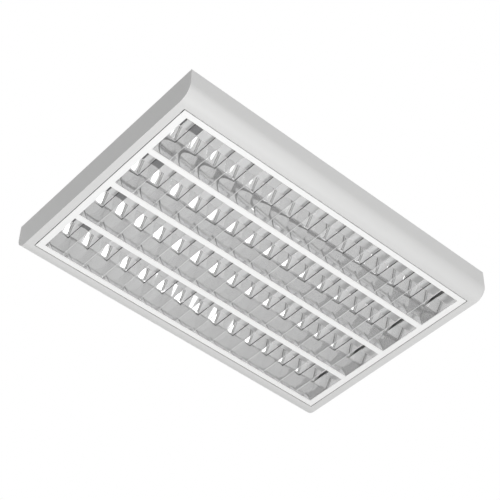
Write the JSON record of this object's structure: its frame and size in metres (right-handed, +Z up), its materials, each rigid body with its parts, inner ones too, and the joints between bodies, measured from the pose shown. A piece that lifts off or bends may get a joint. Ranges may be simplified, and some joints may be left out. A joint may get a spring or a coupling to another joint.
{
  "type": "surface-mounted linear led light",
  "caption": "Slim white ceiling light with a hinged four-channel mirror louvre, LED boards, driver and terminal block.",
  "frame": {"origin": "centre of the flat face that lies against the ceiling", "axes": "+X along the length, +Y across the width towards the louvre's hinge, +Z up into the ceiling"},
  "size_m": [0.65, 0.446, 0.056],
  "materials": {
    "white_powder_coat": "fine satin powder coat",
    "louvre_white": "smooth white enamel",
    "mirror_aluminium": "high-gloss anodised mirror",
    "zinc_steel": "zinc plated",
    "magnet_nickel": "nickel plated",
    "black_rubber": "matte",
    "board_laminate": "white solder mask on an aluminium core",
    "led_phosphor": "silicone dome",
    "clear_cover": "satin clear polycarbonate",
    "connector_grey": "moulded",
    "white_nylon": "moulded",
    "driver_steel": "white coated sheet",
    "circuit_green": "solder mask",
    "ferrite": "sintered",
    "capacitor_sleeve": "shrunk sleeve",
    "terminal_ivory": "moulded",
    "clamp_brass": "stamped",
    "button_orange": "moulded",
    "wire_brown": "extruded sleeve",
    "wire_blue": "extruded sleeve",
    "wire_green_yellow": "extruded sleeve",
    "wire_red": "extruded sleeve"
  },
  "bodies": {
    "housing": {"housing_shell": "white_powder_coat", "end_plate_left": "white_powder_coat", "end_plate_right": "white_powder_coat", "gear_tray": "white_powder_coat", "lamp_troughs": "mirror_aluminium", "end_plate_rivets": "zinc_steel", "tray_standoffs": "zinc_steel", "tray_screws": "zinc_steel", "driver_screws": "zinc_steel", "earth_screw": "zinc_steel", "earth_lug": "zinc_steel", "hinge_brackets": "zinc_steel", "catch_brackets": "zinc_steel", "catch_magnets": "magnet_nickel", "cable_grommet": "black_rubber", "led_board_1": "board_laminate", "led_board_2": "board_laminate", "led_board_3": "board_laminate", "led_board_4": "board_laminate", "led_packages": "led_phosphor", "led_cover_1": "clear_cover", "led_cover_2": "clear_cover", "led_cover_3": "clear_cover", "led_cover_4": "clear_cover", "board_connectors": "connector_grey", "board_rivets": "white_nylon", "driver_input_terminal": "white_nylon", "driver_output_terminal": "white_nylon", "driver_case": "driver_steel", "driver_lid": "driver_steel", "driver_circuit_board": "circuit_green", "driver_transformer": "ferrite", "driver_capacitors": "capacitor_sleeve", "mains_terminal_block": "terminal_ivory", "terminal_clamps": "clamp_brass", "live_wire": "wire_brown", "neutral_wire": "wire_blue", "earth_wire": "wire_green_yellow", "led_leads": "wire_red"},
    "louvre": {"front_rail": "louvre_white", "back_rail": "louvre_white", "end_rail_left": "louvre_white", "end_rail_right": "louvre_white", "divider_strips": "louvre_white", "front_reflector": "mirror_aluminium", "back_reflector": "mirror_aluminium", "divider_reflector_1": "mirror_aluminium", "divider_reflector_2": "mirror_aluminium", "divider_reflector_3": "mirror_aluminium", "end_reflector_left": "mirror_aluminium", "end_reflector_right": "mirror_aluminium", "cross_blades_row_1": "mirror_aluminium", "cross_blades_row_2": "mirror_aluminium", "cross_blades_row_3": "mirror_aluminium", "cross_blades_row_4": "mirror_aluminium", "hinge_pins": "zinc_steel"},
    "button_live": {"release_button_live": "button_orange"},
    "button_neutral": {"release_button_neutral": "button_orange"},
    "button_earth": {"release_button_earth": "button_orange"}
  },
  "joints": [
    {"name": "louvre_hinge", "type": "hinge", "parent": "housing", "child": "louvre", "pos_m": [0, 0.185, -0.0524], "axis": [1, 0, 0], "range_deg": [0, 85]},
    {"name": "button_live_press", "type": "slide", "parent": "housing", "child": "button_live", "axis": [-1, 0, 0], "range_m": [0, 0.002], "stiffness_N_per_m": 600, "springref_m": -0.001},
    {"name": "button_neutral_press", "type": "slide", "parent": "housing", "child": "button_neutral", "axis": [-1, 0, 0], "range_m": [0, 0.002], "stiffness_N_per_m": 600, "springref_m": -0.001},
    {"name": "button_earth_press", "type": "slide", "parent": "housing", "child": "button_earth", "axis": [-1, 0, 0], "range_m": [0, 0.002], "stiffness_N_per_m": 600, "springref_m": -0.001}
  ]
}
